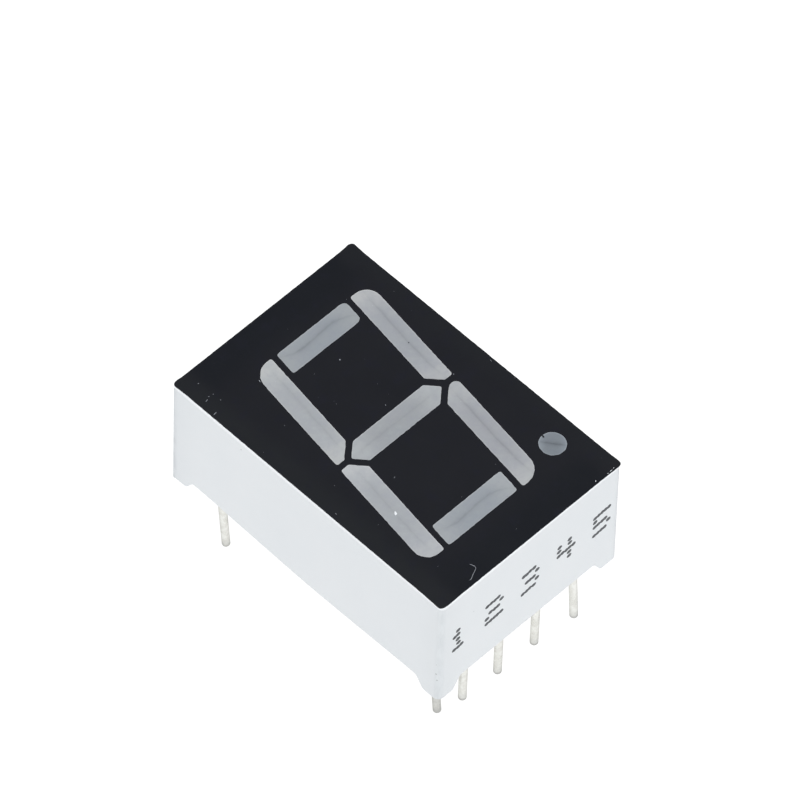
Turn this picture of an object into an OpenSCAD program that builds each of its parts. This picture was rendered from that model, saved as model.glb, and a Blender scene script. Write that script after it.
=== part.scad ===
// One-digit seven segment display with a right-hand decimal point and ten pins.
//
// z = 0 is the plane of the pin tips and the origin is the middle of the pin grid.
// The face looks up +Z, the top of the digit points to +Y and its right side to +X.
// Pins count 1 to 5 from left to right under the digit, then 6 to 10 back again above it.

/* [Case] */
// Width of the case at its face
body_w = 12.6; // [12.4:0.1:18]
// Length of the case at its face
body_l = 19; // [18.4:0.1:26]
// Height from the feet to the face
body_h = 8; // [6.5:0.1:12]
// Thickness of the wall around the board
wall_t = 0.6; // [0.4:0.05:0.8]
// Thickness of the face over the core pockets
skin_t = 1; // [0.6:0.1:1.6]
// Least plastic between a light well and a core pocket
rib_t = 0.6; // [0.4:0.05:0.7]
// Width of the ledge that the edge of the board rests on
ledge_w = 0.3; // [0.15:0.05:0.4]
// Radius of the upright corners at the face
corner_r = 0.3; // [0.1:0.05:0.8]
// Slope of the outer walls for the mould, in degrees
draft = 0.35; // [0:0.05:1]
// Width of the rounded edge around the face
edge_break = 0.02; // [0.01:0.01:0.1]
// Depth of that edge down the wall
edge_drop = 0.07; // [0.02:0.01:0.2]

/* [Feet] */
// Height of the corner feet under the wall edge
foot_h = 0.65; // [0.2:0.05:1.2]
// Length of a foot along each wall
foot_run = 1; // [0.7:0.05:1.8]
// Length of the slope from the foot up to the wall edge
foot_ramp = 0.5; // [0.1:0.05:1]
// Radius at both ends of that slope
foot_fillet = 0.3; // [0.05:0.05:0.6]

/* [Digit] */
// Height of the digit
digit_h = 14.2; // [12.4:0.1:14.4]
// Width of the digit before it is slanted
digit_w = 8.14; // [7.2:0.02:8.3]
// Slant of the digit to the right, in degrees
slant = 8; // [4:0.5:9]
// Stroke of the four upright segments
upright_t = 1.32; // [1:0.02:1.5]
// Stroke of the three level segments
bar_t = 1.45; // [1.1:0.02:1.6]
// Dark gap between neighbouring segments
segment_gap = 0.37; // [0.2:0.01:0.6]
// Length of the middle segment from tip to tip
middle_l = 6.38; // [5.6:0.02:6.5]
// Radius of the digit's outer corners
outer_arc = 0.95; // [0.3:0.05:1]
// Radius of the segments' other corners
segment_fillet = 0.12; // [0.05:0.01:0.16]

/* [Decimal point] */
// Diameter of the point
point_d = 1.44; // [1:0.02:1.6]
// Distance of the point to the right of the middle
point_x = 4.73; // [4.6:0.01:4.8]
// Distance of the point below the middle
point_y = 6.26; // [6.1:0.01:6.35]

/* [Light wells] */
// Depth of the straight lip under the face
lip_h = 0.5; // [0.1:0.1:1]
// Length of the window where a well meets the board
window_l = 2; // [1.7:0.05:2.6]
// Width of that window
window_w = 0.95; // [0.7:0.05:1]
// Diameter of the window under the decimal point
point_window_d = 1.3; // [1.26:0.01:1.34]
// Depth of the straight rim of each window
window_rim = 0.25; // [0.1:0.05:0.6]

/* [Ink] */
// Thickness of the ink on the face
ink_t = 0.05; // [0.02:0.01:0.1]
// Bare margin between the ink and the rounded edge of the face
ink_margin = 0.01; // [0.01:0.01:0.2]
// Corner radius of the ink, sharper than the corners of the case
ink_corner_r = 0.15; // [0.05:0.05:0.5]

/* [Board] */
// Thickness of the circuit board
board_t = 1.2; // [0.8:0.1:1.6]
// Gap around the board
board_fit = 0.1; // [0.05:0.01:0.15]
// Thickness of the copper
copper_t = 0.035; // [0.018:0.001:0.07]
// Width of a track
track_w = 0.4; // [0.25:0.05:0.45]
// Diameter of the copper around a pin
pad_d = 1; // [0.96:0.01:1.1]
// Diameter of the copper under a chip
chip_pad_d = 0.6; // [0.58:0.02:0.68]

/* [Chips] */
// Side of a chip
chip_w = 0.28; // [0.22:0.01:0.3]
// Height of a chip
chip_t = 0.22; // [0.15:0.01:0.26]
// Diameter of the glue dot under a chip
glue_d = 0.56; // [0.48:0.01:0.58]
// Thickness of the glue under the chip
glue_t = 0.03; // [0.01:0.01:0.05]
// Height of the glue against the sides of the chip
glue_climb = 0.05; // [0.02:0.01:0.1]
// Diameter of the bond wire
wire_d = 0.05; // [0.03:0.005:0.06]
// Rise of the wire's loop above the chip
wire_rise = 0.2; // [0.14:0.01:0.22]
// Diameter of the flattened ends of the wire
bond_d = 0.1; // [0.08:0.01:0.14]

/* [Pins] */
// Diameter of a pin
pin_d = 0.45; // [0.4:0.01:0.6]
// Distance between neighbouring pins
pin_pitch = 2.54; // [2.5:0.01:2.54]
// Distance between the two rows
row_pitch = 15.24; // [15.2:0.01:15.8]
// Length of the pins below the feet
pin_out = 6; // [3.5:0.1:12]
// Growth of a pin's diameter towards its head, left by the forming of the head
root_swell = 0.03; // [0.01:0.01:0.06]
// Difference between that thickest part and its hole in the board
pin_fit = 0.05; // [0.02:0.01:0.1]
// Diameter of a pin's head
head_d = 0.8; // [0.76:0.01:0.84]
// Thickness of a pin's head
head_t = 0.15; // [0.08:0.01:0.3]
// Diameter of the solder around a head
solder_d = 0.95; // [0.9:0.01:0.96]
// Space between the solder and the case
solder_gap = 0.05; // [0.02:0.01:0.08]
// Radius at the tip of a pin
tip_r = 0.12; // [0.02:0.01:0.18]
// Share of the bends that three pins took in handling
bent = 1; // [0:0.1:1]

/* [Potting] */
// Thickness of the resin behind the board
potting_t = 0.95; // [0.6:0.05:1.6]
// Depth of its edge inside the rim of the wall
potting_recess = 0.2; // [0.1:0.05:0.6]
// Depth of the hollow that shrinkage left in it
potting_sink = 0.12; // [0.02:0.01:0.3]
// Width of the slope from its edge down into that hollow
potting_slope = 0.7; // [0.2:0.1:1.5]

/* [Hidden] */
LIGHTS = ["a", "b", "c", "d", "e", "f", "g", "point"];
POINT = 7;
PIN_COUNT = 10;

$fn = 48;
hull_fn = 32;      // facets of the rounded corners inside a hull
arc_steps = 6;     // straight steps in a rounded corner of an outline
past = 1;          // how far a cut runs on past the surface it opens
pocket_r = 0.25;   // corner radius of the core pockets
least_slot = 0.5;  // narrowest core pocket that a mould can fill
board_r = 0.4;     // corner radius of the board
board_edge = 0.04; // bare margin of the board outside its copper
bond_t = 0.02;     // thickness of the flattened ends of a wire
bend_r = 0.5;      // radius of a bend in a pin, at its middle
knee_l = 1.9;      // straight run between a pin's two bends

// Pins that were bent in handling: number, direction of the lean, its angle at the root and at the tip
BENDS = [[1, 19, 18.5, 7], [5, -64, 2.9, 2.9], [10, -2, 9.8, 4.2]];

white = [0.93, 0.94, 0.95];
black = [0.13, 0.13, 0.14];
milky = [0.68, 0.69, 0.72];
laminate = [0.78, 0.74, 0.52];
copper = [0.80, 0.50, 0.30];
silver = [0.66, 0.66, 0.68];
crystal = [0.80, 0.62, 0.30];
aluminium = [0.86, 0.87, 0.88];
tin = [0.82, 0.82, 0.79];
clear = [0.86, 0.85, 0.78];

// Levels, from the tips of the pins up
z_foot = pin_out;
z_wall = z_foot + foot_h;                   // lower edge of the walls
z_potting = z_wall + potting_recess;
z_board = z_potting + potting_t;            // back of the board
z_copper = z_board + board_t;               // front of the board
z_deck = z_copper + copper_t;               // underside of the deck
z_face = z_foot + body_h;                   // front of the ink
z_case = z_face - ink_t;                    // front of the moulding
spread = (z_case - z_foot) * tan(draft);    // how much wider each side is at the feet

recess_w = body_w - 2 * wall_t;
recess_l = body_l - 2 * wall_t;
board_w = recess_w - 2 * board_fit;
board_l = recess_l - 2 * board_fit;
ink_inset = edge_break + ink_margin;
root_d = pin_d + root_swell;                // thickest part of a pin, under its head
pocket_x = recess_w / 2 - ledge_w;          // outer side of the core pockets
pocket_y = recess_l / 2 - ledge_w;

digit_x = digit_w / 2;
digit_y = digit_h / 2;
inner_x = digit_x - upright_t;              // inner edge of the uprights
bar_x = inner_x - segment_gap;              // end of the top and bottom segments
mitre = middle_l / 2 + segment_gap * sqrt(2); // |x| + |y| along the uprights' mitred ends

chip_top = glue_t + chip_t;
wire_drop = chip_top + wire_rise;           // from the top of the loop down to the copper
wire_reach = wire_rise + wire_drop;         // from the chip to the other end of its wire

function unit(v) = v / norm(v);
function reversed(list) = [for (k = [len(list) - 1:-1:0]) list[k]];
function mirrored(points, sx, sy) =
    let (turned = [for (p = points) [p.x * sx, p.y * sy]])
    sx * sy > 0 ? turned : reversed(turned);
function slanted(points) = [for (p = points) [p.x + p.y * tan(slant), p.y]];
function box_points(x1, y1, x2, y2) = [[x1, y1], [x2, y1], [x2, y2], [x1, y2]];

// The arc of radius r that rounds the corner p between a and b, whichever way the outline turns there
function corner_arc(a, p, b, r) =
    let (
        in = unit(p - a),
        out = unit(b - p),
        turn = atan2(in.x * out.y - in.y * out.x, in * out),
        side = sign(turn),
        centre = p - in * r * tan(abs(turn) / 2) + side * r * [-in.y, in.x],
        start = atan2(in.y, in.x) - side * 90
    )
    [for (k = [0:arc_steps]) let (t = start + turn * k / arc_steps) centre + r * [cos(t), sin(t)]];
function rounded(points, radii) =
    let (n = len(points))
    [for (k = [0:n - 1])
        each radii[k] == 0
        ? [points[k]]
        : corner_arc(points[(k + n - 1) % n], points[k], points[(k + 1) % n], radii[k])];
function rounded_box(w, l, r) =
    rounded(box_points(-w / 2, -l / 2, w / 2, l / 2), [r, r, r, r]);

// Outlines of the three kinds of segment, before the slant
function bar_outline() = rounded(
    box_points(-bar_x, digit_y - bar_t, bar_x, digit_y),
    [for (k = [0:3]) segment_fillet]
);
function upright_outline() = rounded(
    [
        [inner_x, mitre - inner_x],
        [mitre - segment_gap / 2, segment_gap / 2],
        [digit_x, segment_gap / 2],
        [digit_x, digit_y],
        [inner_x, digit_y]
    ],
    [segment_fillet, segment_fillet, segment_fillet, outer_arc, segment_fillet]
);
function middle_outline() =
    let (tip = middle_l / 2, shoulder = (middle_l - bar_t) / 2, y = bar_t / 2)
    rounded(
        [[-tip, 0], [-shoulder, -y], [shoulder, -y], [tip, 0], [shoulder, y], [-shoulder, y]],
        [for (k = [0:5]) segment_fillet]
    );
function outline(i) = [
    bar_outline(),
    upright_outline(),
    mirrored(upright_outline(), 1, -1),
    mirrored(bar_outline(), 1, -1),
    mirrored(upright_outline(), -1, -1),
    mirrored(upright_outline(), -1, 1),
    middle_outline()
][i];

// Middle and size of each segment before the slant, and the side of the digit that it is on
function is_level(i) = i == 0 || i == 3 || i == 6;
function side_x(i) = [0, 1, 1, 0, -1, -1, 0][i];
function side_y(i) = [1, 1, -1, -1, -1, 1, 0][i];
function segment_size(i) =
    i == 6 ? [middle_l, bar_t]
    : is_level(i) ? [2 * bar_x, bar_t]
    : [upright_t, digit_y - segment_gap / 2];
function segment_middle(i) =
    is_level(i)
    ? [0, side_y(i) * (digit_y - bar_t / 2)]
    : [side_x(i) * (digit_x - upright_t / 2), side_y(i) * (digit_y + segment_gap / 2) / 2];
function window_outline(i) =
    let (
        size = segment_size(i),
        middle = segment_middle(i),
        window = is_level(i) ? [window_l, window_w] : [window_w, window_l],
        scale_x = window.x / size.x,
        scale_y = window.y / size.y
    )
    [for (p = outline(i))
        [middle.x + (p.x - middle.x) * scale_x, middle.y + (p.y - middle.y) * scale_y]];

// Where each wire runs from its chip, and where the chip stands
function wire_angle(i) = [0, 90 - slant, 270 - slant, 180, 270 - slant, 90 - slant, 180, 0][i];
function along_wire(i, run) = run * [cos(wire_angle(i)), sin(wire_angle(i))];
function chip_at(i) =
    i == POINT
    ? [point_x, -point_y] - along_wire(i, wire_reach / 2)
    : slanted([segment_middle(i)])[0];
function wire_end_at(i) = chip_at(i) + along_wire(i, wire_reach);

function pin_at(n) =
    n <= PIN_COUNT / 2
    ? [(n - 3) * pin_pitch, -row_pitch / 2]
    : [(8 - n) * pin_pitch, row_pitch / 2];
function segment_pin(i) = [7, 6, 4, 2, 1, 9, 10, 5][i];
function common_pins() = [3, 8];
function casting_name(i) = i == POINT ? "decimal_point" : str("segment_", LIGHTS[i]);

function ring(points, z) = [for (p = points) [p.x, p.y, z]];

// Solid through a stack of rings with the same number of points, lowest ring first
module loft(rings) {
    n = len(rings[0]);
    top = (len(rings) - 1) * n;
    polyhedron(
        points = [for (r = rings) each r],
        faces = concat(
            [[for (k = [0:n - 1]) k]],
            [[for (k = [n - 1:-1:0]) top + k]],
            [for (low = [0:n:top - n]) for (k = [0:n - 1]) [low + k, low + n + k, low + n + (k + 1) % n]],
            [for (low = [0:n:top - n]) for (k = [0:n - 1])
                [low + k, low + n + (k + 1) % n, low + (k + 1) % n]]
        )
    );
}

module at_corners(inset) {
    for (sx = [-1, 1], sy = [-1, 1])
        translate([sx * (body_w / 2 - inset), sy * (body_l / 2 - inset)]) children();
}

module at_pins() {
    for (n = [1:PIN_COUNT]) translate(pin_at(n)) children();
}

// Shape of light well i. It runs on past both ends by lead, and is straight there.
module well(i, lead = 0) {
    low = z_deck + window_rim;
    high = z_case - lip_h;
    if (i == POINT)
        translate([point_x, -point_y]) {
            translate([0, 0, z_deck - lead]) cylinder(d = point_window_d, h = window_rim + lead);
            translate([0, 0, low]) cylinder(d1 = point_window_d, d2 = point_d, h = high - low);
            translate([0, 0, high]) cylinder(d = point_d, h = lip_h + lead);
        }
    else {
        face = slanted(outline(i));
        window = slanted(window_outline(i));
        loft([
            ring(window, z_deck - lead),
            ring(window, low),
            ring(face, high),
            ring(face, z_case + lead)
        ]);
    }
}

// One of the two core pockets inside the loops of the digit
module loop_pocket(sy) {
    x = inner_x - rib_t;
    low = bar_t / 2 + rib_t;
    high = digit_y - bar_t - rib_t;
    loop = rounded(box_points(-x, low, x, high), [for (k = [0:3]) pocket_r]);
    polygon(slanted(mirrored(loop, 1, sy)));
}

// The wedge between the slanted digit and a long wall, from its narrow end up to level y
module side_pocket(y) {
    edge_x = digit_x + rib_t;
    slope = tan(slant);
    low = max(-y, (least_slot + edge_x - pocket_x) / slope);
    polygon(rounded(
        [[-pocket_x, low], [-edge_x + low * slope, low], [-edge_x + y * slope, y], [-pocket_x, y]],
        [for (k = [0:3]) pocket_r / 2]
    ));
}

// The slot between the digit and a short wall, which the heads of the pins share
module end_pocket(sy) {
    slot = rounded(
        box_points(-pocket_x, digit_y + rib_t, pocket_x, pocket_y),
        [for (k = [0:3]) pocket_r]
    );
    polygon(mirrored(slot, 1, sy));
}

module core_pockets() {
    for (sy = [-1, 1]) {
        loop_pocket(sy);
        end_pocket(sy);
    }
    side_pocket(digit_y - rib_t);
    rotate(180) side_pocket(point_y - point_d / 2 - rib_t);
}

// What is cut away between the feet of one pair of walls, with room to spare below the feet
module foot_arch(length, width) {
    end = length / 2 + spread + past;
    low = length / 2 + spread - foot_run;
    high = low - foot_ramp;
    steepness = atan2(foot_h, foot_ramp);
    fillet = min(foot_fillet, 0.45 * norm([foot_ramp, foot_h]) / tan(steepness / 2));
    rotate([90, 0, 0])
        linear_extrude(width + 2 * (spread + past), center = true)
            polygon(rounded(
                [
                    [-end, z_foot - past], [end, z_foot - past], [end, z_foot], [low, z_foot],
                    [high, z_wall], [-high, z_wall], [-low, z_foot], [-end, z_foot]
                ],
                [0, 0, 0, fillet, fillet, fillet, fillet, 0]
            ));
}

module reflector_case() {
    height = z_case - z_foot;
    color(white) difference() {
        hull() {
            translate([0, 0, z_foot]) at_corners(corner_r)
                cylinder(
                    h = height - edge_drop, r1 = corner_r + spread,
                    r2 = corner_r + edge_drop * tan(draft), $fn = hull_fn
                );
            for (turn = [30:30:90]) translate([0, 0, z_foot]) at_corners(corner_r)
                cylinder(
                    h = height - edge_drop * (1 - sin(turn)),
                    r = corner_r - edge_break * (1 - cos(turn)), $fn = hull_fn
                );
        }
        translate([0, 0, z_foot - past]) linear_extrude(z_deck - z_foot + past)
            polygon(rounded_box(recess_w, recess_l, board_r + board_fit));
        foot_arch(body_w, body_l);
        rotate(90) foot_arch(body_l, body_w);
        translate([0, 0, z_deck - past]) linear_extrude(z_case - skin_t - z_deck + past)
            core_pockets();
        translate([0, 0, z_deck - past]) at_pins()
            cylinder(d = solder_d + 2 * solder_gap, h = past + head_t + solder_gap);
        for (i = [0:POINT]) well(i, past);
    }
}

module face_ink() {
    color(black) translate([0, 0, z_case]) linear_extrude(ink_t) difference() {
        polygon(rounded_box(body_w - 2 * ink_inset, body_l - 2 * ink_inset, ink_corner_r));
        for (i = [0:POINT - 1]) polygon(slanted(outline(i)));
        translate([point_x, -point_y]) circle(d = point_d);
    }
}

// Milky resin cast in well i, around the chip and its wire
module light_casting(i) {
    color(milky) difference() {
        well(i);
        glue_dot(i);
        chip(i);
        bond_wire(i);
    }
}

module circuit_board() {
    color(laminate) translate([0, 0, z_board]) linear_extrude(board_t) difference() {
        polygon(rounded_box(board_w, board_l, board_r));
        at_pins() circle(d = root_d + pin_fit);
    }
}

module track(points) {
    for (k = [0:len(points) - 1]) translate(points[k]) circle(d = track_w);
    for (k = [1:len(points) - 1]) {
        run = points[k] - points[k - 1];
        translate(points[k - 1]) rotate(atan2(run.y, run.x))
            translate([0, -track_w / 2]) square([norm(run), track_w]);
    }
}

// A track from the end of a wire to its pin. The one of the middle segment goes round by the left edge.
module segment_track(i) {
    pin = pin_at(segment_pin(i));
    end = wire_end_at(i);
    track(i == 6 ? [end, [pin.x, end.y], pin] : [end, pin]);
    translate(pin) circle(d = pad_d);
}

// The track that joins all the chips to the two middle pins
module common_track() {
    point_chip = chip_at(POINT);
    track([for (n = common_pins()) pin_at(n)]);
    for (i = [0:POINT - 1]) if (i != 6) track([[0, chip_at(i).y], chip_at(i)]);
    track([chip_at(2), [point_chip.x, chip_at(2).y], point_chip]);
    for (i = [0:POINT]) translate(chip_at(i)) circle(d = chip_pad_d);
    for (n = common_pins()) translate(pin_at(n)) circle(d = pad_d);
}

module copper_tracks() {
    color(copper) translate([0, 0, z_copper]) linear_extrude(copper_t) difference() {
        intersection() {
            polygon(rounded_box(board_w - 2 * board_edge, board_l - 2 * board_edge, board_r));
            union() {
                common_track();
                for (i = [0:POINT]) segment_track(i);
            }
        }
        at_pins() circle(d = root_d + pin_fit);
    }
}

module at_chip(i) {
    at = chip_at(i);
    translate([at.x, at.y, z_deck]) rotate(wire_angle(i)) children();
}

module chip(i) {
    color(crystal) at_chip(i) translate([-chip_w / 2, -chip_w / 2, glue_t]) cube([chip_w, chip_w, chip_t]);
}

// Conductive glue, under the chip and a little way up its sides
module glue_dot(i) {
    color(silver) difference() {
        at_chip(i) cylinder(d1 = glue_d, d2 = chip_w * sqrt(2) + glue_t, h = glue_t + glue_climb);
        chip(i);
    }
}

module chip_glue() {
    for (i = [0:POINT]) glue_dot(i);
}

// Two quarter bends meet at the top of the loop: one rises off the chip, one falls to the copper
module bond_wire(i) {
    color(aluminium) at_chip(i) {
        translate([0, 0, chip_top]) cylinder(d = bond_d, h = bond_t);
        translate([wire_rise, 0, chip_top]) rotate([90, 0, 0]) rotate(90)
            rotate_extrude(angle = 90) translate([wire_rise, 0]) circle(d = wire_d);
        translate([wire_rise, 0, 0]) rotate([90, 0, 0])
            rotate_extrude(angle = 90) translate([wire_drop, 0]) circle(d = wire_d);
        translate([wire_reach, 0, 0]) cylinder(d = bond_d, h = bond_t);
    }
}

module pin_root() {
    translate([0, 0, z_wall]) cylinder(d1 = pin_d, d2 = root_d, h = z_deck - z_wall);
}

// Below its root a pin is drawn run by run: local +z goes down it, and a bend leans it to local +x
module pin_tip() {
    rotate_extrude() intersection() {
        square([pin_d / 2, tip_r]);
        union() {
            square([pin_d / 2 - tip_r, tip_r]);
            translate([pin_d / 2 - tip_r, 0]) circle(r = tip_r);
        }
    }
}

module bend(angle) {
    side = angle < 0 ? 180 : 0;
    turn = abs(angle);
    if (turn == 0) children();
    else rotate(side) {
        translate([bend_r, 0, 0]) rotate([90, 0, 180])
            rotate_extrude(angle = turn) translate([bend_r, 0]) circle(d = pin_d);
        translate([bend_r, 0, 0]) rotate([0, turn, 0]) translate([-bend_r, 0, 0])
            rotate(-side) children();
    }
}

module pin_run(length) {
    cylinder(d = pin_d, h = length);
    translate([0, 0, length]) children();
}

module pin(n) {
    found = [for (b = BENDS) if (b[0] == n) b];
    is_bent = len(found) > 0 && bent > 0;
    free_l = z_wall - tip_r;
    color(tin) translate(pin_at(n)) {
        translate([0, 0, z_deck]) cylinder(d = head_d, h = head_t);
        pin_root();
        translate([0, 0, z_wall]) rotate([180, 0, 0])
            if (is_bent) {
                root = found[0][2] * bent;
                tip = found[0][3] * bent;
                bends_l = bend_r * (root + abs(root - tip)) * PI / 180;
                rotate(-found[0][1])
                    bend(root) pin_run(knee_l) bend(tip - root)
                        pin_run(free_l - knee_l - bends_l) pin_tip();
            } else
                pin_run(free_l) pin_tip();
    }
}

module pin_solder() {
    color(silver) translate([0, 0, z_deck]) at_pins() rotate_extrude()
        polygon([[head_d / 2, 0], [solder_d / 2, 0], [head_d / 2, head_t]]);
}

module potting() {
    hollow_r = board_r + board_fit;
    wide = rounded_box(recess_w, recess_l, hollow_r);
    narrow = rounded_box(recess_w - 2 * potting_slope, recess_l - 2 * potting_slope, hollow_r);
    color(clear) difference() {
        translate([0, 0, z_potting]) linear_extrude(z_copper - z_potting) polygon(wide);
        translate([0, 0, z_board]) linear_extrude(board_t + past)
            polygon(rounded_box(board_w, board_l, board_r));
        loft([ring(wide, z_potting - past), ring(wide, z_potting), ring(narrow, z_potting + potting_sink)]);
        at_pins() pin_root();
    }
}

reflector_case();
face_ink();
for (i = [0:POINT]) light_casting(i);
circuit_board();
copper_tracks();
chip_glue();
for (i = [0:POINT]) chip(i);
for (i = [0:POINT]) bond_wire(i);
for (n = [1:PIN_COUNT]) pin(n);
pin_solder();
potting();
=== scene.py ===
import math
import bmesh
import bpy
import numpy as np
from mathutils import Matrix, Vector, geometry


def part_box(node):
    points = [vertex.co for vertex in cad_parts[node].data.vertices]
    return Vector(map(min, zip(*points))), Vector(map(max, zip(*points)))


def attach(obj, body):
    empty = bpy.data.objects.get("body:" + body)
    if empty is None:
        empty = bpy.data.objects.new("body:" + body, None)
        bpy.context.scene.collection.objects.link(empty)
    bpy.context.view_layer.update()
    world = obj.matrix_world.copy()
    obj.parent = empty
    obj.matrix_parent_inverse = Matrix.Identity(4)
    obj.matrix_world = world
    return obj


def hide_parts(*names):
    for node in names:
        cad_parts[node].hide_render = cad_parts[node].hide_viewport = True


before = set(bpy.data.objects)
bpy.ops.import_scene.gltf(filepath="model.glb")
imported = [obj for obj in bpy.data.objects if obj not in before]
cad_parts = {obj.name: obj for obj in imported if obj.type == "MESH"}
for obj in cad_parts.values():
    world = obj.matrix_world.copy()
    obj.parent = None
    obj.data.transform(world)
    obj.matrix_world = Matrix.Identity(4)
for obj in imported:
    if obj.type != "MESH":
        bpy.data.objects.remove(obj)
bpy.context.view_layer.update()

# A one-digit seven segment display with a decimal point, built on its CAD frame.
# Shapes are worked out in millimetres and put into the meshes in metres.
MM = 0.001

# ==== Studio ====
# The display stands on a lit white table in a dim grey room, under one broad soft lamp overhead.
# The camera looks down past its lower left corner through a long lens.
scene = bpy.context.scene
scene.view_settings.view_transform = "Standard"

CAMERA_TARGET = np.array([1.1404, 0.9042, 14.0141]) * MM
CAMERA_DISTANCE = 428.528 * MM
CAMERA_LENS = 386.468
azimuth, elevation, roll = np.radians([-46.3925, 54.3417, 1.8447])
level = np.array([math.cos(azimuth), math.sin(azimuth), 0.0])
back = np.array([
    math.sin(azimuth) * math.cos(elevation), -math.cos(azimuth) * math.cos(elevation), math.sin(elevation),
])
right = math.cos(roll) * level + math.sin(roll) * np.cross(back, level)
camera_data = bpy.data.cameras.new("camera")
camera_data.lens = CAMERA_LENS
camera = bpy.data.objects.new("camera", camera_data)
camera.matrix_world = Matrix.Translation(CAMERA_TARGET + CAMERA_DISTANCE * back) @ Matrix(
    np.column_stack([right, np.cross(back, right), back])
).to_4x4()
scene.collection.objects.link(camera)
scene.camera = camera

lamp_data = bpy.data.lights.new("lamp", "SUN")
lamp_data.energy = 2.8
lamp_data.angle = math.radians(70)
lamp = bpy.data.objects.new("lamp", lamp_data)
lamp.rotation_euler = Vector((-0.19, -0.23, 1.0)).to_track_quat("Z", "Y").to_euler()
scene.collection.objects.link(lamp)

# Mirrors and walls meet a dim grey room; the camera looks past the table into a white backdrop.
room = bpy.data.worlds.new("room")
room.use_nodes = True
scene.world = room
room_nodes = room.node_tree.nodes
room_nodes["Background"].inputs["Color"].default_value = (0.30, 0.31, 0.325, 1.0)
backdrop = room_nodes.new("ShaderNodeBackground")
backdrop.inputs["Color"].default_value = (1.0, 1.0, 1.0, 1.0)
seen = room_nodes.new("ShaderNodeLightPath")
either = room_nodes.new("ShaderNodeMixShader")
for source, sink in (
    (seen.outputs["Is Camera Ray"], either.inputs[0]),
    (room_nodes["Background"].outputs[0], either.inputs[1]),
    (backdrop.outputs[0], either.inputs[2]),
    (either.outputs[0], room_nodes["World Output"].inputs["Surface"]),
):
    room.node_tree.links.new(source, sink)

TABLE_HALF = 1.5        # metres
table_mesh = bpy.data.meshes.new("table")
table_mesh.from_pydata(
    [(sx * TABLE_HALF, sy * TABLE_HALF, 0) for sx, sy in ((-1, -1), (1, -1), (1, 1), (-1, 1))],
    [], [(0, 1, 2, 3)],
)
table = bpy.data.objects.new("table", table_mesh)
table_finish = bpy.data.materials.new("table")
table_finish.use_nodes = True
table_shader = table_finish.node_tree.nodes["Principled BSDF"]
table_shader.inputs["Base Color"].default_value = (0.18, 0.18, 0.18, 1.0)
table_shader.inputs["Roughness"].default_value = 0.9
table_shader.inputs["Specular IOR Level"].default_value = 0.0
table_shader.inputs["Emission Color"].default_value = (1.0, 1.0, 1.0, 1.0)
table_shader.inputs["Emission Strength"].default_value = 0.95
table_mesh.materials.append(table_finish)
scene.collection.objects.link(table)

# ==== Case ====
# One shot of titanium-white plastic with the light wells, the board's recess and the four feet in it.
# The mould leaves a slight draft and a fine matt grain. The upright corners and the left wall near them
# carry painted shade, and a painted highlight runs under the top edge.


class Value:
    """A shader socket. Arithmetic on it adds Math nodes, so that a mask is written as a formula."""

    def __init__(self, finish, socket):
        self.finish = finish
        self.socket = socket

    def __add__(self, other):
        return self.finish.math("ADD", self, other)

    def __sub__(self, other):
        return self.finish.math("SUBTRACT", self, other)

    def __rsub__(self, other):
        return self.finish.math("SUBTRACT", other, self)

    def __mul__(self, other):
        return self.finish.math("MULTIPLY", self, other)

    def __truediv__(self, other):
        return self.finish.math("DIVIDE", self, other)

    def __rtruediv__(self, other):
        return self.finish.math("DIVIDE", other, self)

    def __pow__(self, other):
        return self.finish.math("POWER", self, other)

    def __abs__(self):
        return self.finish.math("ABSOLUTE", self)

    __radd__ = __add__
    __rmul__ = __mul__


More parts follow.
